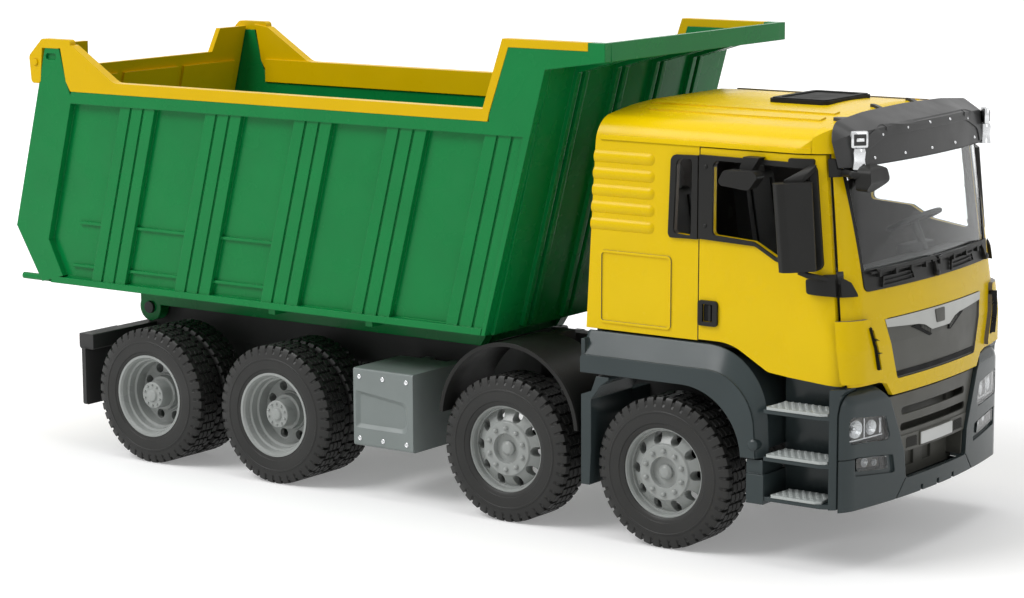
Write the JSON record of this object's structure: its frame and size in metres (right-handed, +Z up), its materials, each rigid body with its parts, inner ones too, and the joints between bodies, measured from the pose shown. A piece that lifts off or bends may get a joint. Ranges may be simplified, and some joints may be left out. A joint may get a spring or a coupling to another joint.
{
  "type": "toy dump truck",
  "caption": "Toy tipper truck with a tilting cab, opening doors, steered front wheels, a tipping tub on a telescopic ram and a swinging tailgate.",
  "frame": {"origin": "on the floor, in the middle of the truck's length and width", "axes": "+X forwards along the truck, +Y to the driver's left, +Z up"},
  "size_m": [0.4823, 0.1782, 0.2187],
  "materials": {
    "tyre_rubber": "matt black plastic tyre",
    "rim_silver": "satin silver plastic",
    "silver_plastic": "satin silver plastic",
    "black_plastic": "satin black plastic",
    "anthracite_plastic": "glossy blue-grey plastic",
    "grille_grey": "satin dark grey plastic",
    "tub_green": "glossy green plastic",
    "rail_yellow": "glossy warm yellow plastic",
    "cab_yellow": "glossy yellow plastic",
    "clear_plastic": "clear glossy plastic",
    "lamp_clear": "clear glossy plastic lamp",
    "inside_grey": "satin grey plastic"
  },
  "bodies": {
    "chassis": {"frame": "black_plastic", "rear_beam": "black_plastic", "engine_block": "black_plastic", "front_axle": "black_plastic", "second_axle": "black_plastic", "rear_axles": "black_plastic", "bumper": "anthracite_plastic", "bumper_grille": "grille_grey", "front_lamps": "lamp_clear", "step_boxes": "anthracite_plastic", "step_treads": "silver_plastic", "wheel_flaps": "anthracite_plastic", "mudguards": "black_plastic", "tool_box": "silver_plastic", "fuel_tank": "silver_plastic"},
    "knuckle_right": {"knuckle_right": "black_plastic"},
    "knuckle_left": {"knuckle_left": "black_plastic"},
    "tie_rod": {"tie_rod": "black_plastic"},
    "tub": {"tub_floor": "tub_green", "tub_side_right": "tub_green", "tub_side_left": "tub_green", "tub_front": "tub_green", "tub_rails": "rail_yellow"},
    "tailgate": {"tailgate": "rail_yellow"},
    "ram_barrel": {"ram_barrel": "black_plastic"},
    "ram_middle": {"ram_middle": "silver_plastic"},
    "ram_rod": {"ram_rod": "silver_plastic"},
    "cab": {"cab_body": "cab_yellow", "cab_roof": "cab_yellow", "cab_front": "cab_yellow", "cab_fenders": "anthracite_plastic", "windscreen": "clear_plastic", "sun_visor": "black_plastic", "cowl": "black_plastic", "grille_panel": "grille_grey", "grille_wing": "silver_plastic", "roof_hatch": "black_plastic", "cab_interior": "inside_grey", "front_mirror": "black_plastic", "quarter_frames": "black_plastic"},
    "door_right": {"door_right": "cab_yellow", "door_trim_right": "black_plastic"},
    "door_left": {"door_left": "cab_yellow", "door_trim_left": "black_plastic"},
    "wheel_1_right": {"tyre_1_right": "tyre_rubber", "rim_1_right": "rim_silver"},
    "wheel_1_left": {"tyre_1_left": "tyre_rubber", "rim_1_left": "rim_silver"},
    "wheel_2_right": {"tyre_2_right": "tyre_rubber", "rim_2_right": "rim_silver"},
    "wheel_2_left": {"tyre_2_left": "tyre_rubber", "rim_2_left": "rim_silver"},
    "wheel_3_right": {"tyres_3_right": "tyre_rubber", "rim_3_right": "rim_silver"},
    "wheel_3_left": {"tyres_3_left": "tyre_rubber", "rim_3_left": "rim_silver"},
    "wheel_4_right": {"tyres_4_right": "tyre_rubber", "rim_4_right": "rim_silver"},
    "wheel_4_left": {"tyres_4_left": "tyre_rubber", "rim_4_left": "rim_silver"}
  },
  "joints": [
    {"name": "steer_right", "type": "hinge", "parent": "chassis", "child": "knuckle_right", "pos_m": [0.1467, -0.062, 0.0335], "axis": [0, 0, 1], "range_deg": [-18, 18]},
    {"name": "steer_left", "type": "hinge", "parent": "chassis", "child": "knuckle_left", "pos_m": [0.1467, 0.062, 0.0335], "axis": [0, 0, 1], "range_deg": [-18, 18]},
    {"name": "tie_rod_shift", "type": "slide", "parent": "chassis", "child": "tie_rod", "axis": [0, -1, 0], "range_m": [-0.00385, 0.00385]},
    {"name": "wheel_1_right_spin", "type": "hinge", "parent": "knuckle_right", "child": "wheel_1_right", "pos_m": [0.1467, -0.065, 0.0335], "axis": [0, 1, 0], "continuous": true},
    {"name": "wheel_1_left_spin", "type": "hinge", "parent": "knuckle_left", "child": "wheel_1_left", "pos_m": [0.1467, 0.065, 0.0335], "axis": [0, 1, 0], "continuous": true},
    {"name": "wheel_2_right_spin", "type": "hinge", "parent": "chassis", "child": "wheel_2_right", "pos_m": [0.0623, -0.065, 0.0335], "axis": [0, 1, 0], "continuous": true},
    {"name": "wheel_2_left_spin", "type": "hinge", "parent": "chassis", "child": "wheel_2_left", "pos_m": [0.0623, 0.065, 0.0335], "axis": [0, 1, 0], "continuous": true},
    {"name": "wheel_3_right_spin", "type": "hinge", "parent": "chassis", "child": "wheel_3_right", "pos_m": [-0.0727, -0.0594, 0.0335], "axis": [0, 1, 0], "continuous": true},
    {"name": "wheel_3_left_spin", "type": "hinge", "parent": "chassis", "child": "wheel_3_left", "pos_m": [-0.0727, 0.0594, 0.0335], "axis": [0, 1, 0], "continuous": true},
    {"name": "wheel_4_right_spin", "type": "hinge", "parent": "chassis", "child": "wheel_4_right", "pos_m": [-0.1528, -0.0594, 0.0335], "axis": [0, 1, 0], "continuous": true},
    {"name": "wheel_4_left_spin", "type": "hinge", "parent": "chassis", "child": "wheel_4_left", "pos_m": [-0.1528, 0.0594, 0.0335], "axis": [0, 1, 0], "continuous": true},
    {"name": "tub_tip", "type": "hinge", "parent": "chassis", "child": "tub", "pos_m": [-0.1903, 0, 0.0685], "axis": [0, -1, 0], "range_deg": [0, 45]},
    {"name": "tailgate_swing", "type": "hinge", "parent": "tub", "child": "tailgate", "pos_m": [-0.2241, 0, 0.1952], "axis": [0, 1, 0], "range_deg": [0, 70]},
    {"name": "ram_swing", "type": "hinge", "parent": "chassis", "child": "ram_barrel", "pos_m": [-0.1133, 0, 0.044], "axis": [0, -1, 0], "range_deg": [0, 19.19]},
    {"name": "ram_first_stage", "type": "slide", "parent": "ram_barrel", "child": "ram_middle", "axis": [0, 0, 1], "range_m": [0, 0.02826]},
    {"name": "ram_second_stage", "type": "slide", "parent": "ram_middle", "child": "ram_rod", "axis": [0, 0, 1], "range_m": [0, 0.02826]},
    {"name": "cab_tilt", "type": "hinge", "parent": "chassis", "child": "cab", "pos_m": [0.234, 0, 0.07], "axis": [0, 1, 0], "range_deg": [0, 45]},
    {"name": "door_right_swing", "type": "hinge", "parent": "cab", "child": "door_right", "pos_m": [0.22391, -0.06638, 0.125], "axis": [-0.1142, 0.0397, 0.9927], "range_deg": [0, 60]},
    {"name": "door_left_swing", "type": "hinge", "parent": "cab", "child": "door_left", "pos_m": [0.22391, 0.06638, 0.125], "axis": [0.1142, 0.0397, -0.9927], "range_deg": [0, 60]}
  ],
  "couplings": [
    {"joint": "steer_left", "follows": "steer_right", "ratio": 1},
    {"joint": "tie_rod_shift", "follows": "steer_right", "m_per_rad": 0.011804},
    {"joint": "ram_swing", "follows": "tub_tip", "ratio": 0.42534},
    {"joint": "ram_first_stage", "follows": "tub_tip", "m_per_rad": 0.035922},
    {"joint": "ram_second_stage", "follows": "tub_tip", "m_per_rad": 0.035922}
  ]
}
